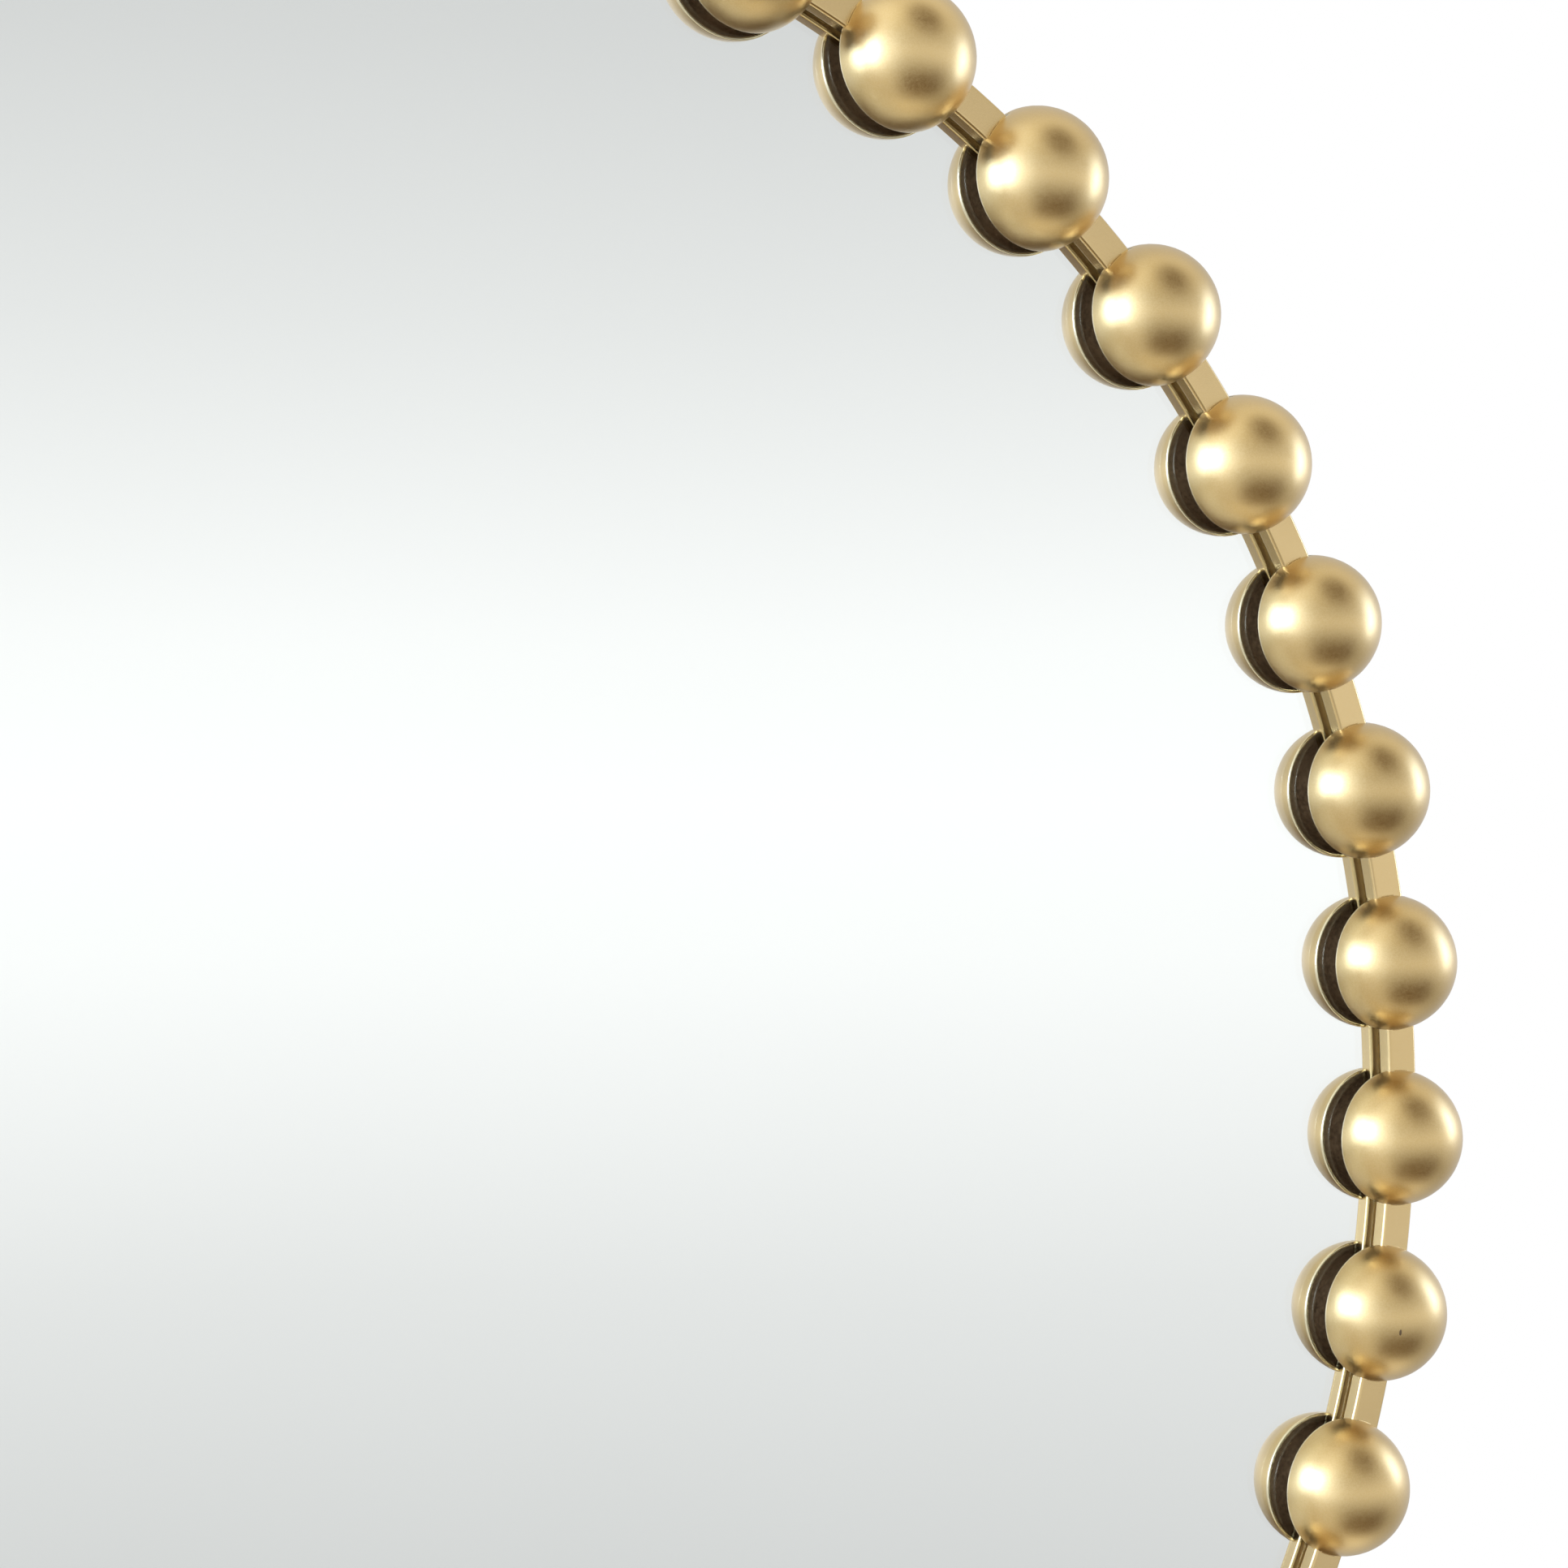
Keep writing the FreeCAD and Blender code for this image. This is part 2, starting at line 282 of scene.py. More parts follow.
def makeBeadLiningAndShade():
    # inside of a pressed half ball: bare steel under thin overspray, its tone kept dark so that it also
    # stands in for the shade in the hollow, so partly painted shade
    look = liningAndShadeFinish
    material, tree, shader, place = newMaterial(
        "beadLiningAndShade", look["colour"], sum(look["roughness"]) / 2, look["metal"])
    spray = placeGroup(tree, sprayGroup, {
        "Vector": place, "Flake Size": look["flake"], "Peel Size": look["peel"],
        "Peel Share": look["peelShare"]})
    colour = mixColour(tree, mapRange(tree, spray["Height"], *look["streakFrom"], 0.0, 1.0),
                       opaque(look["colour"]), opaque(look["streak"]))
    specks = placeGroup(tree, markGroup, {
        "Vector": place, "Spacing": look["speckSpacing"], "Mark Size": look["speckSize"],
        "Share": look["speckShare"]})["Mask"]
    colour = mixColour(tree, specks, colour, opaque(look["speck"]))
    roughness = mapRange(tree, spray["Flake"], 0.0, 1.0, *look["roughness"])
    linkShader(tree, shader, colour, roughness, bumpNode(tree, spray["Height"], look["bump"]))
    setShader(shader, {"Metallic": look["metal"]})
    return material


glassFinish = {
    "tint": (0.972, 0.990, 0.982), "ior": 1.52, "haze": 0.004, "viewRoughness": 0.02,
    "smearScale": 9.0, "smearDetail": 3.0, "smearFrom": (0.55, 0.75),
}


def makeClearGlass():
    # wiped clean, with the faintest smears
    look = glassFinish
    material, tree, shader, place = newMaterial("clearGlass", look["tint"], look["viewRoughness"])
    smear = noise(tree, place, look["smearScale"], look["smearDetail"])
    tree.links.new(mapRange(tree, smear, *look["smearFrom"], 0.0, look["haze"]), shader.inputs["Roughness"])
    setShader(shader, {
        "Base Color": opaque(look["tint"]), "Metallic": 0.0, "Transmission Weight": 1.0, "IOR": look["ior"]})
    return material


silverFinish = {
    "colour": (0.965, 0.975, 0.970), "cloud": (0.93, 0.94, 0.93), "cloudShare": 0.3, "haze": 0.006,
    "cloudScale": 5.0, "cloudDetail": 2.0, "cloudFrom": (0.3, 0.7), "hazeFrom": (0.55, 0.75),
    "viewRoughness": 0.01,
}


def makeSilvering():
    look = silverFinish
    material, tree, shader, place = newMaterial("silvering", look["colour"], look["viewRoughness"], 1.0)
    clouds = noise(tree, place, look["cloudScale"], look["cloudDetail"])
    colour = mixColour(tree, mapRange(tree, clouds, *look["cloudFrom"], 0.0, look["cloudShare"]),
                       opaque(look["colour"]), opaque(look["cloud"]))
    linkShader(tree, shader, colour, mapRange(tree, clouds, *look["hazeFrom"], 0.0, look["haze"]))
    setShader(shader, {"Metallic": 1.0})
    return material


# four numbers give the noise levels first, then the share of the tone at each
boardFinish = {
    "colour": (0.42, 0.295, 0.18), "fibre": (0.28, 0.185, 0.105), "pale": (0.52, 0.385, 0.25),
    "roughness": (0.68, 0.82), "roughFrom": (0.3, 0.7), "viewRoughness": 0.8, "specular": 0.3,
    "fibreSize": 0.0006, "fibreDetail": 3.0, "fibreFrom": (0.35, 0.65), "bump": 0.00004, "bumpStrength": 0.5,
    "clumpSize": 0.006, "clumpDetail": 4.0, "clumpRoughness": 0.7,
    "darkClumps": (0.30, 0.52, 0.45, 0.0), "paleClumps": (0.52, 0.72, 0.0, 0.5),
    "sandingScale": (16.0, 16.0, 1500.0), "sandingDetail": 2.0, "sandingLines": (0.45, 0.75, 0.0, 0.14),
    "patchScale": 5.0, "patchDetail": 1.0, "palePatches": (0.35, 0.70, 0.0, 0.25),
    "fleckSpacing": 0.0045, "fleckSize": 0.13, "fleckShare": 0.30, "fleckStretch": (0.45, 1.0, 1.0),
    "fleckDepth": 0.55, "cutEdge": (0.24, 0.15, 0.08), "cutDepth": 0.0006,
}


def makeFibreboard():
    # sanded fibreboard: fine fibres, faint sanding lines, dark flecks and a browner sawn edge
    look = boardFinish
    fibre, pale = opaque(look["fibre"]), opaque(look["pale"])
    material, tree, shader, place = newMaterial("fibreboard", look["colour"], look["viewRoughness"])
    fibres = noise(tree, place, 1.0 / look["fibreSize"], look["fibreDetail"])
    clumps = noise(tree, place, 1.0 / look["clumpSize"], look["clumpDetail"], look["clumpRoughness"])
    sanding = noise(tree, squeezed(tree, place, look["sandingScale"]), 1.0, look["sandingDetail"])
    patches = noise(tree, place, look["patchScale"], look["patchDetail"])
    flecks = placeGroup(tree, markGroup, {
        "Vector": place, "Spacing": look["fleckSpacing"], "Mark Size": look["fleckSize"],
        "Share": look["fleckShare"], "Stretch": look["fleckStretch"]})["Mask"]
    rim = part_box("backing_board")[1].x
    sawn = mapRange(tree, reachAlong(tree, place, (1.0, 0.0, 1.0)),
                    rim - look["cutDepth"], rim - look["cutDepth"] / 2, 0.0, 1.0)
    colour = mixColour(tree, mapRange(tree, fibres, *look["fibreFrom"], 0.0, 1.0),
                       fibre, opaque(look["colour"]))
    colour = mixColour(tree, mapRange(tree, clumps, *look["darkClumps"]), colour, fibre)
    colour = mixColour(tree, mapRange(tree, clumps, *look["paleClumps"]), colour, pale)
    colour = mixColour(tree, mapRange(tree, sanding, *look["sandingLines"]), colour, pale)
    colour = mixColour(tree, mapRange(tree, patches, *look["palePatches"]), colour, pale)
    colour = mixColour(tree, mathNode(tree, "MULTIPLY", flecks, look["fleckDepth"]), colour, fibre)
    colour = mixColour(tree, sawn, colour, opaque(look["cutEdge"]))
    roughness = mapRange(tree, sanding, *look["roughFrom"], *look["roughness"])
    linkShader(tree, shader, colour, roughness, bumpNode(tree, fibres, look["bump"], look["bumpStrength"]))
    setShader(shader, {"Specular IOR Level": look["specular"]})
    return material


zincFinish = {"colour": (0.60, 0.605, 0.60), "bloom": (0.44, 0.445, 0.435), "worn": (0.74, 0.735, 0.72)}
yellowZincFinish = {"colour": (0.66, 0.52, 0.25), "bloom": (0.50, 0.42, 0.22), "worn": (0.76, 0.65, 0.44)}
zincGrain = {
    "roughness": (0.22, 0.42), "roughFrom": (0.35, 0.65), "viewRoughness": 0.35,
    "bloomScale": 260.0, "bloomDetail": 4.0, "bloomFrom": (0.4, 0.65),
    "drawnScale": (900.0, 900.0, 60.0), "drawnDetail": 2.0, "wornLines": (0.6, 0.8, 0.0, 0.6),
    "bump": 0.00002, "bumpStrength": 0.5,
}


def makeZincPlate(name, finish):
    look = zincGrain
    material, tree, shader, place = newMaterial(name, finish["colour"], look["viewRoughness"], 1.0)
    bloom = noise(tree, place, look["bloomScale"], look["bloomDetail"])
    drawn = noise(tree, squeezed(tree, place, look["drawnScale"]), 1.0, look["drawnDetail"])
    colour = mixColour(tree, mapRange(tree, bloom, *look["bloomFrom"], 0.0, 1.0),
                       opaque(finish["colour"]), opaque(finish["bloom"]))
    colour = mixColour(tree, mapRange(tree, drawn, *look["wornLines"]), colour, opaque(finish["worn"]))
    roughness = mapRange(tree, bloom, *look["roughFrom"], *look["roughness"])
    linkShader(tree, shader, colour, roughness, bumpNode(tree, drawn, look["bump"], look["bumpStrength"]))
    setShader(shader, {"Metallic": 1.0})
    return material


rubberFinish = {
    "colour": (0.022, 0.022, 0.023), "bloom": (0.055, 0.054, 0.052),
    "roughness": (0.55, 0.8), "roughFrom": (0.3, 0.7), "viewRoughness": 0.7,
    "bloomScale": 160.0, "bloomDetail": 3.0, "bloomFrom": (0.45, 0.75),
    "grainScale": 1500.0, "grainDetail": 2.0, "bump": 0.0001, "bumpStrength": 0.5,
}


def makeBlackRubber():
    look = rubberFinish
    material, tree, shader, place = newMaterial("blackRubber", look["colour"], look["viewRoughness"])
    grain = noise(tree, place, look["grainScale"], look["grainDetail"])
    bloom = noise(tree, place, look["bloomScale"], look["bloomDetail"])
    colour = mixColour(tree, mapRange(tree, bloom, *look["bloomFrom"], 0.0, 1.0),
                       opaque(look["colour"]), opaque(look["bloom"]))
    roughness = mapRange(tree, bloom, *look["roughFrom"], *look["roughness"])
    linkShader(tree, shader, colour, roughness, bumpNode(tree, grain, look["bump"], look["bumpStrength"]))
    return material


satinGold = makeSatinGold("satinGold", goldFinish["bar"], onBeads=False)
satinGoldBead = makeSatinGold("satinGoldBead", goldFinish["bead"], onBeads=True)
beadLiningAndShade = makeBeadLiningAndShade()
clearGlass = makeClearGlass()
silvering = makeSilvering()
fibreboard = makeFibreboard()
zincPlate = makeZincPlate("zincPlate", zincFinish)
yellowZinc = makeZincPlate("yellowZinc", yellowZincFinish)
blackRubber = makeBlackRubber()
print("finishes ready:", len(bpy.data.materials), "materials,", len(bpy.data.node_groups), "shared groups")


# sizes that the frame gives

beadLow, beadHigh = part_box("bead_11")      # the bead at three o'clock
barLow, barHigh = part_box("frame_ring")
glassLow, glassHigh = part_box("mirror_glass")
silverLow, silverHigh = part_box("silver_coat")
beadRadius = (beadHigh.x - beadLow.x) / 2
beadCircle = (beadHigh.x + beadLow.x) / 2
lipDepth = -beadHigh.y                      # depths run from the wall towards the room
glassFront = -glassLow.y
glassBack = -glassHigh.y
barFront = -barLow.y
barOuter = barHigh.x
beadNodes = sorted(name for name in nodes if name.startswith("bead_"))


# geometry node helpers

def newTree(name, inputs):
    tree = bpy.data.node_groups.new(name, "GeometryNodeTree")
    tree.interface.new_socket("Geometry", in_out="INPUT", socket_type="NodeSocketGeometry")
    tree.interface.new_socket("Geometry", in_out="OUTPUT", socket_type="NodeSocketGeometry")
    for label, kind in inputs:
        tree.interface.new_socket(label, in_out="INPUT", socket_type=kind)
    return tree, addNode(tree, "NodeGroupInput").outputs, addNode(tree, "NodeGroupOutput").inputs


def runTree(name, tree, values):
    # runs a tree on an empty mesh and keeps the result as a plain mesh at the origin
    holder = addObject(name + "Maker", bpy.data.meshes.new(name + "Maker"))
    modifier = holder.modifiers.new(name, "NODES")
    modifier.node_group = tree
    for item in tree.interface.items_tree:
        if item.item_type == "SOCKET" and item.in_out == "INPUT" and item.name in values:
            modifier[item.identifier] = values[item.name]
    ready = holder.evaluated_get(bpy.context.evaluated_depsgraph_get())
    mesh = bpy.data.meshes.new_from_object(ready)
    mesh.name = name
    holder.modifiers.remove(modifier)
    bpy.data.objects.remove(holder)
    return addObject(name, mesh)


def ringOfCopies(tree, master, count, radius):
    # copies stand round a circle, each turned to face out from the middle
    circle = addNode(tree, "GeometryNodeMeshCircle", {"Vertices": count, "Radius": radius}).outputs[0]
    position = addNode(tree, "GeometryNodeInputPosition").outputs[0]
    spot = addNode(tree, "ShaderNodeSeparateXYZ", {0: position}).outputs
    turn = mathNode(tree, "ARCTAN2", spot[1], spot[0])
    turned = addNode(tree, "ShaderNodeCombineXYZ", {2: turn}).outputs[0]
    return addNode(tree, "GeometryNodeInstanceOnPoints", {
        "Points": circle, "Instance": master, "Rotation": turned}).outputs[0]


def standUp(tree, geometry, depth):
    # the ring is made lying flat with its front up, then stood upright to face the room
    lift = addNode(tree, "ShaderNodeCombineXYZ", {
        1: mathNode(tree, "MULTIPLY", depth, -1.0)}).outputs[0]
    return addNode(tree, "GeometryNodeTransform", {
        "Geometry": geometry, "Translation": lift, "Rotation": (math.radians(90.0), 0.0, 0.0)}).outputs[0]


def finishFaces(tree, geometry, material):
    # copies become plain faces and take their finish
    solid = addNode(tree, "GeometryNodeRealizeInstances", {"Geometry": geometry}).outputs[0]
    return addNode(tree, "GeometryNodeSetMaterial", {"Geometry": solid, "Material": material}).outputs[0]


# beads: hollow half balls, notched to sit astride the bar

beadShape = {
    "wall": 1.0 * millimetre, "barWidth": 10.0 * millimetre, "clearance": 0.1 * millimetre,
    "outerRows": 15, "lipRows": 4, "innerRows": 7, "sideColumns": 24, "notchColumns": 8,
    "notchEdge": 0.12,                      # degrees from a notch's side to the columns next to it
    "roofGap": 0.35 * millimetre, "roofGapFrom": 0.6,    # the notch gapes over the bar's outer part
    # the band above the lip over which the painted lip highlight fades out
    "lipHighlightBand": 0.45 * millimetre, "onWall": 0.01 * millimetre,
    "toneLow": 0.96, "toneHigh": 1.03, "seed": 7,
}
barInner = barOuter - beadShape["barWidth"]


def beadColumns():
    # (direction, height of the lip) round the bead, with a step at each edge of the two notches
    clear = beadShape["clearance"]
    outerSide = math.degrees(math.acos((barOuter + clear - beadCircle) / beadRadius))
    innerSide = math.degrees(math.acos((barInner - clear - beadCircle) / beadRadius))
    notch = barFront - lipDepth
    edge = beadShape["notchEdge"]
    arcs = [
        (-outerSide + edge, outerSide - edge, 0.0, beadShape["sideColumns"]),
        (outerSide + edge, innerSide - edge, notch, beadShape["notchColumns"]),
        (innerSide + edge, 360.0 - innerSide - edge, 0.0, beadShape["sideColumns"]),
        (360.0 - innerSide + edge, 360.0 - outerSide - edge, notch, beadShape["notchColumns"]),
    ]
    columns = []
    for start, end, lip, count in arcs:
        for step in range(count + 1):
            turn = math.radians(start + (end - start) * step / count)
            outwards = (beadRadius * math.cos(turn) + beadCircle - barInner) / (barOuter - barInner)
            lift = max(0.0, outwards - beadShape["roofGapFrom"]) / (1.0 - beadShape["roofGapFrom"])
            columns.append((turn, lip + beadShape["roofGap"] * lift if lip else 0.0))
    return columns


def makeBeadMaster():
    # lies with its lip on the ground plane and its crown up, the bar running along Y
    wall = beadShape["wall"]
    middle = beadRadius - wall / 2
    inner = beadRadius - wall
    mesh = bpy.data.meshes.new("beadMaster")
    work = bmesh.new()
    lipHighlightLayer = work.verts.layers.float.new("lipHighlight")
    crown = work.verts.new((0.0, 0.0, beadRadius))
    roof = work.verts.new((0.0, 0.0, inner))
    columns = []
    for turn, lip in beadColumns():
        low = math.asin((lip + wall / 2) / middle)
        rises = [math.pi / 2 + (low - math.pi / 2) * row / beadShape["outerRows"]
                 for row in range(1, beadShape["outerRows"])]
        rises += [low + beadShape["lipHighlightBand"] / beadRadius, low]
        profile = [(beadRadius * math.cos(rise), beadRadius * math.sin(rise)) for rise in rises]
        lipStart = len(rises) - 1
        for row in range(1, beadShape["lipRows"]):
            swing = math.pi * row / beadShape["lipRows"]
            across = middle + wall / 2 * math.cos(swing)
            down = wall / 2 * math.sin(swing)
            profile.append((across * math.cos(low) + down * math.sin(low),
                            across * math.sin(low) - down * math.cos(low)))
        for row in range(beadShape["innerRows"]):
            rise = low + (math.pi / 2 - low) * row / beadShape["innerRows"]
            profile.append((inner * math.cos(rise), inner * math.sin(rise)))
        columns.append([work.verts.new((reach * math.cos(turn), reach * math.sin(turn), up))
                        for reach, up in profile])
        # the lip rows carry the painted highlight
        for vertex in columns[-1][lipStart:lipStart + beadShape["lipRows"]]:
            vertex[lipHighlightLayer] = 1.0
    lipEnd = lipStart + beadShape["lipRows"] - 1
    inside = work.faces.layers.bool.new("inside")
    for index, column in enumerate(columns):
        after = columns[(index + 1) % len(columns)]
        work.faces.new((crown, column[0], after[0]))
        for row in range(len(column) - 1):
            face = work.faces.new((column[row], column[row + 1], after[row + 1], after[row]))
            face[inside] = row >= lipEnd
        work.faces.new((column[-1], roof, after[-1]))[inside] = True
    for face in work.faces:
        face.smooth = True
    work.to_mesh(mesh)
    work.free()
    normals = []
    for loop in mesh.loops:                 # the round walls shade as true balls, the lip by its own faces
        spot = mesh.vertices[loop.vertex_index].co
        if spot.length > beadRadius - beadShape["onWall"]:
            normals.append(spot.normalized())
        elif spot.length < inner + beadShape["onWall"]:
            normals.append(-spot.normalized())
        else:
            normals.append(Vector())
    mesh.normals_split_custom_set(normals)
    return addObject("beadMaster", mesh)


def buildBeadTree():
    tree, given, out = newTree("beadRing", [
        ("Bead", "NodeSocketObject"), ("Bead Count", "NodeSocketInt"), ("Circle Radius", "NodeSocketFloat"),
        ("Lip Depth", "NodeSocketFloat"), ("Tone Low", "NodeSocketFloat"), ("Tone High", "NodeSocketFloat"),
        ("Seed", "NodeSocketInt"), ("Paint", "NodeSocketMaterial"), ("Lining", "NodeSocketMaterial")])
    master = addNode(tree, "GeometryNodeObjectInfo", {"Object": given["Bead"], "As Instance": True})
    ring = ringOfCopies(tree, master.outputs["Geometry"], given["Bead Count"], given["Circle Radius"])
    tone = addNode(tree, "FunctionNodeRandomValue", {
        2: given["Tone Low"], 3: given["Tone High"], "Seed": given["Seed"]}, data_type="FLOAT")
    ring = addNode(tree, "GeometryNodeStoreNamedAttribute", {
        "Geometry": ring, "Name": "beadTone", "Value": tone.outputs[1]},
        data_type="FLOAT", domain="INSTANCE").outputs[0]
    ring = standUp(tree, ring, given["Lip Depth"])
    painted = finishFaces(tree, ring, given["Paint"])
    # the hollow faces take the lining, whose dark tone is partly painted shade
    hollow = addNode(tree, "GeometryNodeInputNamedAttribute", {"Name": "inside"}, data_type="BOOLEAN")
    lined = addNode(tree, "GeometryNodeSetMaterial", {
        "Geometry": painted, "Selection": hollow.outputs[0], "Material": given["Lining"]}).outputs[0]
    tree.links.new(lined, out[0])
    return tree


beadMaster = makeBeadMaster()
beads = runTree("beads", buildBeadTree(), {
    "Bead": beadMaster, "Bead Count": len(beadNodes), "Circle Radius": beadCircle, "Lip Depth": lipDepth,
    "Tone Low": beadShape["toneLow"], "Tone High": beadShape["toneHigh"], "Seed": beadShape["seed"],
    "Paint": satinGoldBead, "Lining": beadLiningAndShade})
bpy.data.objects.remove(beadMaster)
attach(beads, "mirror")
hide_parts(*beadNodes)
print("beads:", len(beadNodes), "of", len(beads.data.polygons) // len(beadNodes), "faces each")


# bar of the ring: a rounded flat bar rolled to a circle

barShape = {"corner": 1.0 * millimetre, "cornerSteps": 5, "segments": 360}


def buildBarTree():
    tree, given, out = newTree("rolledBar", [
        ("Middle Radius", "NodeSocketFloat"), ("Bar Width", "NodeSocketFloat"),
        ("Bar Thickness", "NodeSocketFloat"), ("Corner Radius", "NodeSocketFloat"),
        ("Corner Steps", "NodeSocketInt"), ("Segments", "NodeSocketInt"),
        ("Middle Depth", "NodeSocketFloat"), ("Paint", "NodeSocketMaterial")])
    path = addNode(tree, "GeometryNodeCurvePrimitiveCircle", {
        "Resolution": given["Segments"], "Radius": given["Middle Radius"]}).outputs[0]
    section = addNode(tree, "GeometryNodeCurvePrimitiveQuadrilateral", {
        "Width": given["Bar Width"], "Height": given["Bar Thickness"]}).outputs[0]
    section = addNode(tree, "GeometryNodeFilletCurve", {
        "Curve": section, "Count": given["Corner Steps"], "Radius": given["Corner Radius"],
        "Limit Radius": True}, mode="POLY").outputs[0]
    rolled = addNode(tree, "GeometryNodeCurveToMesh", {"Curve": path, "Profile Curve": section}).outputs[0]
    rolled = standUp(tree, rolled, given["Middle Depth"])
    tree.links.new(finishFaces(tree, rolled, given["Paint"]), out[0])
    return tree


frameBar = runTree("frameBar", buildBarTree(), {
    "Middle Radius": (barInner + barOuter) / 2, "Bar Width": barOuter - barInner,
    "Bar Thickness": barFront - glassFront, "Corner Radius": barShape["corner"],
    "Corner Steps": barShape["cornerSteps"], "Segments": barShape["segments"],
    "Middle Depth": (barFront + glassFront) / 2, "Paint": satinGold})


weldDistance = 0.001 * millimetre           # points nearer than this become one


def closeAndSmooth(piece, sharpAngle=None):
    # joins doubled points, turns the faces outwards and shades the piece smooth
    work = bmesh.new()
    work.from_mesh(piece.data)
    bmesh.ops.remove_doubles(work, verts=work.verts, dist=weldDistance)
    bmesh.ops.recalc_face_normals(work, faces=work.faces)
    for face in work.faces:
        face.smooth = True
    work.to_mesh(piece.data)
    work.free()
    if sharpAngle:
        piece.data.set_sharp_from_angle(angle=math.radians(sharpAngle))


closeAndSmooth(frameBar)
weighted = frameBar.modifiers.new("flatFaces", "WEIGHTED_NORMAL")
weighted.keep_sharp = True
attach(frameBar, "mirror")
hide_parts("frame_ring")
print("frame bar:", len(frameBar.data.polygons), "faces, size", [round(v, 4) for v in frameBar.dimensions])


# paint fillets where the bar runs into the beads

filletShape = {"radius": 0.16 * millimetre, "sides": 8, "steps": 16, "from": 0.11, "to": 0.62}


def filletPath():
    # on the bead's own surface along the flat of the bar, from its inner corner to where the roof lifts
    top = barFront - lipDepth
    left, right = barInner - beadCircle, barOuter - beadCircle
    start, end = filletShape["from"], filletShape["to"]
    path = []
    for step in range(filletShape["steps"] + 1):
        share = start + (end - start) * step / filletShape["steps"]
        across = left + (right - left) * share
        path.append(Vector((across, math.sqrt(beadRadius ** 2 - across ** 2 - top ** 2), top)))
    return path


def makeFilletMaster():
    path = filletPath()
    mesh = bpy.data.meshes.new("filletMaster")
    work = bmesh.new()
    for side in (1, -1):
        points = [Vector((p.x, p.y * side, p.z)) for p in path]
        rings = []
        for index, point in enumerate(points):
            heading = (points[min(index + 1, len(points) - 1)] - points[max(index - 1, 0)]).normalized()
            out = point.normalized()
            across = heading.cross(out).normalized()
            out = across.cross(heading).normalized()
            ring = []
            for step in range(filletShape["sides"]):
                angle = math.tau * step / filletShape["sides"]
                ring.append(work.verts.new(
                    point + (out * math.cos(angle) + across * math.sin(angle)) * filletShape["radius"]))
            rings.append(ring)
        for first, second in zip(rings, rings[1:]):
            for step in range(filletShape["sides"]):
                after = (step + 1) % filletShape["sides"]
                work.faces.new((first[step], first[after], second[after], second[step]))
        work.faces.new(rings[0])
        work.faces.new(rings[-1])
    bmesh.ops.recalc_face_normals(work, faces=work.faces)
    for face in work.faces:
        face.smooth = True
    work.to_mesh(mesh)
    work.free()
    return addObject("filletMaster", mesh)


def buildFilletTree():
    tree, given, out = newTree("paintFillets", [
        ("Fillet", "NodeSocketObject"), ("Bead Count", "NodeSocketInt"),
        ("Circle Radius", "NodeSocketFloat"), ("Lip Depth", "NodeSocketFloat"),
        ("Paint", "NodeSocketMaterial")])
    master = addNode(tree, "GeometryNodeObjectInfo", {"Object": given["Fillet"], "As Instance": True})
    ring = ringOfCopies(tree, master.outputs["Geometry"], given["Bead Count"], given["Circle Radius"])
    ring = standUp(tree, ring, given["Lip Depth"])
    tree.links.new(finishFaces(tree, ring, given["Paint"]), out[0])
    return tree


filletMaster = makeFilletMaster()
paintFillets = runTree("paintFillets", buildFilletTree(), {
    "Fillet": filletMaster, "Bead Count": len(beadNodes), "Circle Radius": beadCircle,
    "Lip Depth": lipDepth, "Paint": satinGold})
bpy.data.objects.remove(filletMaster)
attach(paintFillets, "mirror")
print("paint fillets:", len(paintFillets.data.polygons), "faces")


# glass and silvering: turned about the mirror's axis

turnedShape = {
    "segments": 288, "arris": 0.4 * millimetre, "sharpAngle": 25.0,
    "silverSink": 0.02 * millimetre,        # the film reaches into the glass, so no air lies between
    "footGap": 0.06 * millimetre,           # the pane stays a hair off the bar, so light runs in there
}


def makeTurned(name, profile, material):
    # profile points are (radius, depth), from the axis round to the axis again
    mesh = bpy.data.meshes.new(name)
    work = bmesh.new()
    rings = []
    for radius, depth in profile:
        if radius == 0.0:
            rings.append([work.verts.new((0.0, -depth, 0.0))])
            continue
        ring = []
        for step in range(turnedShape["segments"]):
            angle = math.tau * step / turnedShape["segments"]
            ring.append(work.verts.new((radius * math.cos(angle), -depth, radius * math.sin(angle))))
        rings.append(ring)
    for first, second in zip(rings, rings[1:]):
        for step in range(turnedShape["segments"]):
            after = (step + 1) % turnedShape["segments"]
            corners = [first[step % len(first)], first[after % len(first)],
                       second[after % len(second)], second[step % len(second)]]
            work.faces.new(list(dict.fromkeys(corners)))
    work.to_mesh(mesh)
    work.free()
    piece = addObject(name, mesh)
    mesh.materials.append(material)
    closeAndSmooth(piece, sharpAngle=turnedShape["sharpAngle"])
    return piece


arris = turnedShape["arris"]
paneFront = glassFront - turnedShape["footGap"]
glassPane = makeTurned("glassPane", [
    (0.0, glassBack), (glassHigh.x - arris, glassBack), (glassHigh.x, glassBack + arris),
    (glassHigh.x, paneFront - arris), (glassHigh.x - arris, paneFront), (0.0, paneFront)], clearGlass)
silverFront = -silverLow.y + turnedShape["silverSink"]
silverBack = -silverHigh.y
silverFilm = makeTurned("silverFilm", [
    (0.0, silverBack), (silverHigh.x, silverBack),
    (silverHigh.x, silverFront), (0.0, silverFront)], silvering)
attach(glassPane, "mirror")
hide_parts("mirror_glass")
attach(silverFilm, "mirror")
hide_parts("silver_coat")
print("glass and silvering turned")


# hardware behind the mirror keeps its CAD shapes

for name, node in nodes.items():
    if name.startswith("retaining_tab_"):
        setMaterial(node, satinGold)
    elif name == "tab_screws" or name.startswith(("hanger_strap_", "d_ring_")):
        setMaterial(node, zincPlate)
    elif name == "hanger_screws":
        setMaterial(node, yellowZinc)
    elif name == "wall_bumpers":
        setMaterial(node, blackRubber)
    elif name == "backing_board":
        setMaterial(node, fibreboard)
print("hardware finished")


# stage, light and camera

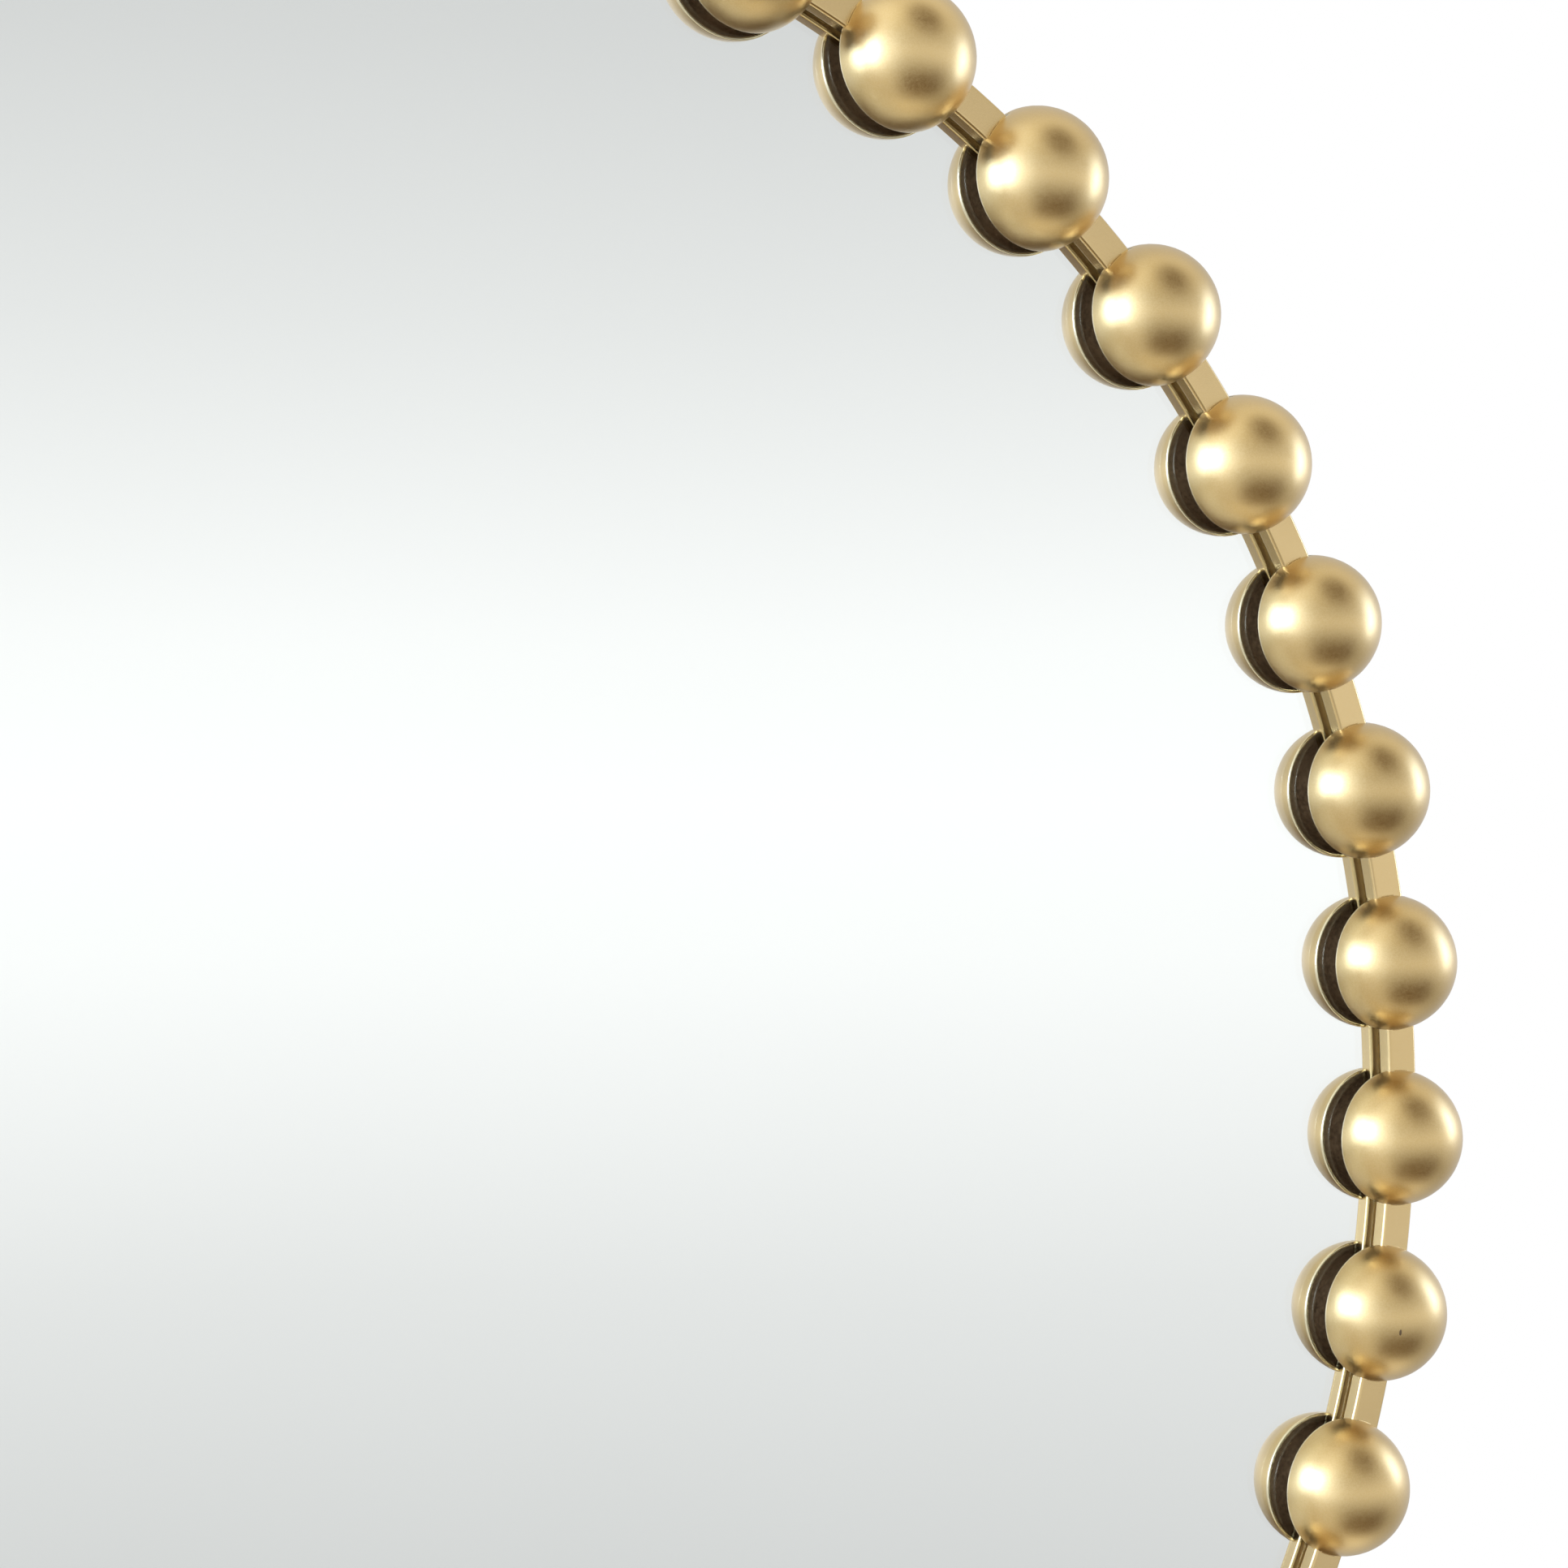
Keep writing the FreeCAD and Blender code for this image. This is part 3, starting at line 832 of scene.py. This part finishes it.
floorLook = {
    "radius": 0.68, "drop": 0.001, "segments": 96, "colour": (0.93, 0.88, 0.81), "roughness": 0.8,
    "fadeFrom": 0.40, "fadeTo": 0.92,       # shares of the radius over which it fades into the white
}


def makeFloor():
    mesh = bpy.data.meshes.new("floor")
    work = bmesh.new()
    radius = floorLook["radius"]
    ground = Matrix.Translation((0.0, 0.0, cadBox[0][2] - floorLook["drop"]))
    bmesh.ops.create_circle(work, cap_ends=True, segments=floorLook["segments"], radius=radius, matrix=ground)
    work.to_mesh(mesh)
    work.free()
    floor = addObject("floor", mesh)
    material, tree, shader, place = newMaterial("paleFloor", floorLook["colour"], floorLook["roughness"])
    reach = reachAlong(tree, place, (1.0, 1.0, 0.0))
    fade = mapRange(tree, reach, radius * floorLook["fadeFrom"], radius * floorLook["fadeTo"], 1.0, 0.0)
    tree.links.new(fade, shader.inputs["Alpha"])
    setShader(shader, {"Base Color": opaque(floorLook["colour"]), "Roughness": floorLook["roughness"]})
    mesh.materials.append(material)
    floor.visible_glossy = False            # the gold sees the plain ground around it, as on a shoot


softEdge = 0.30                             # share of a softbox over which its light fades out
coolWhite, plainWhite = (0.78, 0.98, 1.38), (1.0, 1.0, 1.0)
softboxes = {
    "keySoftbox": {"place": (-1.16, -0.14, 0.29), "aim": (0.30, -0.03, 0.05), "size": (1.00, 0.95),
                   "power": 23.5, "colour": coolWhite},
    "keyFill": {"place": (-1.12, -0.76, 0.24), "aim": (0.30, -0.03, 0.05), "size": (1.75, 2.20),
                "power": 7.2, "colour": coolWhite},
    "sideSoftbox": {"place": (1.60, -0.33, 0.45), "aim": (0.31, -0.03, 0.05), "size": (1.00, 1.25),
                    "power": 4.5, "colour": coolWhite},
    "sideStrip": {"place": (1.56, -0.42, 0.30), "aim": (0.31, -0.03, 0.05), "size": (0.26, 0.95),
                  "power": 3.6, "colour": coolWhite},
    "backSoftbox": {"place": (-0.80, 1.25, 0.75), "aim": (0.0, 0.0, 0.0), "size": (1.00, 1.00),
                    "power": 7.0, "colour": plainWhite},
}


def addSoftbox(name, setup):
    lamp = bpy.data.lights.new(name, "AREA")
    lamp.shape = "RECTANGLE"
    lamp.size, lamp.size_y = setup["size"]
    lamp.energy = setup["power"]
    lamp.color = setup["colour"]
    lamp.use_nodes = True
    tree = lamp.node_tree
    across = addNode(tree, "ShaderNodeNewGeometry").outputs["Parametric"]
    spot = addNode(tree, "ShaderNodeSeparateXYZ", {0: across})
    glow = None
    for axis in (0, 1):                     # the cloth glows evenly in the middle and fades at its edges
        fromEdge = mathNode(tree, "SUBTRACT", 0.5, mathNode(
            tree, "ABSOLUTE", mathNode(tree, "SUBTRACT", spot.outputs[axis], 0.5)))
        fade = mapRange(tree, fromEdge, 0.0, softEdge, 0.0, 1.0)
        glow = fade if glow is None else mathNode(tree, "MULTIPLY", glow, fade)
    tree.links.new(glow, tree.nodes["Emission"].inputs["Strength"])
    box = addObject(name, lamp)
    box.location = setup["place"]
    towards = Vector(setup["aim"]) - Vector(setup["place"])
    box.rotation_euler = towards.to_track_quat("-Z", "Y").to_euler()
    box.visible_camera = False


skyLook = {
    "up": (-0.0346, -0.0030, 0.9994), "level": 0.006,
    "band": [(-1.0, 1.22), (-0.93, 1.10), (-0.78, 0.60), (-0.55, 0.46), (-0.24, 0.70), (-0.15, 0.83),
             (-0.10, 0.935), (-0.05, 1.03), (0.0, 1.065), (0.05, 1.03), (0.10, 0.935), (0.15, 0.84),
             (0.24, 0.705), (0.50, 0.74), (0.85, 0.98)],    # height of the direction, brightness
    "warmth": (1.0, 0.96, 0.84), "warmFrom": 0.26, "warmFull": 0.50,
    "behind": (0.56, 0.55, 0.54), "behindFade": (-0.05, 0.30), "behindShare": 0.6,
    "spots": [
        {"towards": (-0.70, -0.05, 0.70), "inner": 12.0, "outer": 38.0, "tone": (1.30, 1.32, 1.30)},
        {"towards": (-0.75, -0.10, -0.65), "inner": 12.0, "outer": 44.0, "tone": (0.84, 0.81, 0.74)},
        {"towards": (0.18, -0.62, 0.765), "inner": 5.0, "outer": 32.0, "tone": (0.17, 0.11, 0.05),
         "notInMirror": True},
        {"towards": (0.40, -0.62, -0.68), "inner": 5.0, "outer": 29.0, "tone": (0.12, 0.07, 0.03)},
        {"towards": (-0.02, -0.62, -0.78), "inner": 6.0, "outer": 32.0, "tone": (0.15, 0.09, 0.035)},
    ],
    "mirrorDepth": 2.5,                     # light that has turned more often came by way of the mirror
}


def makeWorld():
    # white to the camera; metal and glass see a bright band at eye level and soft bright and dark places
    world = bpy.data.worlds.new("studio")
    scene.world = world
    world.use_nodes = True
    tree = world.node_tree
    tree.nodes.clear()
    look = addNode(tree, "ShaderNodeTexCoord").outputs["Generated"]

    def facing(direction):
        aim = Vector(direction).normalized()
        node = addNode(tree, "ShaderNodeVectorMath", {0: look, 1: aim}, operation="DOT_PRODUCT")
        return node.outputs["Value"]

    rise = mathNode(tree, "ADD", facing(skyLook["up"]), skyLook["level"])
    ramp = addNode(tree, "ShaderNodeValToRGB", {0: mapRange(tree, rise, -1.0, 1.0, 0.0, 1.0, smooth=False)})
    band = skyLook["band"]
    while len(ramp.color_ramp.elements) < len(band):
        ramp.color_ramp.elements.new(0.5)
    for element, (stop, level) in zip(ramp.color_ramp.elements, band):
        element.position = (stop + 1.0) / 2
        element.color = (level, level, level, 1.0)
    white = opaque(plainWhite)
    steep = mathNode(tree, "ABSOLUTE", rise)
    warm = mapRange(tree, steep, skyLook["warmFrom"], skyLook["warmFull"], 0.0, 1.0)
    tint = mixColour(tree, warm, white, opaque(skyLook["warmth"]))
    around = mixColour(tree, 1.0, ramp.outputs[0], tint, "MULTIPLY")
    behind = mapRange(tree, facing((0.0, 1.0, 0.0)), *skyLook["behindFade"], 0.0, skyLook["behindShare"])
    around = mixColour(tree, behind, around, opaque(skyLook["behind"]))
    rays = addNode(tree, "ShaderNodeLightPath").outputs
    direct = mathNode(tree, "LESS_THAN", rays["Ray Depth"], skyLook["mirrorDepth"])
    for spot in skyLook["spots"]:
        near = mapRange(tree, facing(spot["towards"]), math.cos(math.radians(spot["outer"])),
                        math.cos(math.radians(spot["inner"])), 0.0, 1.0)
        if spot.get("notInMirror"):
            near = mathNode(tree, "MULTIPLY", near, direct)
        around = mixColour(tree, near, around, opaque(spot["tone"]))
    shown = mixColour(tree, rays["Is Camera Ray"], around, white)
    back = addNode(tree, "ShaderNodeBackground", {"Color": shown, "Strength": 1.0}).outputs[0]
    end = addNode(tree, "ShaderNodeOutputWorld")
    tree.links.new(back, end.inputs["Surface"])


makeFloor()
makeWorld()
for name, setup in softboxes.items():
    addSoftbox(name, setup)

cameraSetup = {
    "place": (-0.28613, -0.76010, 0.08529), "yaw": 28.806, "pitch": 0.805, "roll": 1.823,
    "lens": 73.218, "sensor": 36.0, "nearest": 0.01,
}


def addCamera():
    lens = bpy.data.cameras.new("photoCamera")
    lens.sensor_width = cameraSetup["sensor"]
    lens.lens = cameraSetup["lens"]
    lens.clip_start = cameraSetup["nearest"]
    camera = addObject("photoCamera", lens)
    turn = Matrix.Rotation(math.radians(-cameraSetup["yaw"]), 4, "Z")
    tip = Matrix.Rotation(math.radians(90.0 + cameraSetup["pitch"]), 4, "X")
    roll = Matrix.Rotation(math.radians(cameraSetup["roll"]), 4, "Z")
    camera.matrix_world = Matrix.Translation(cameraSetup["place"]) @ turn @ tip @ roll
    scene.camera = camera


addCamera()
print("stage, lights and camera set")
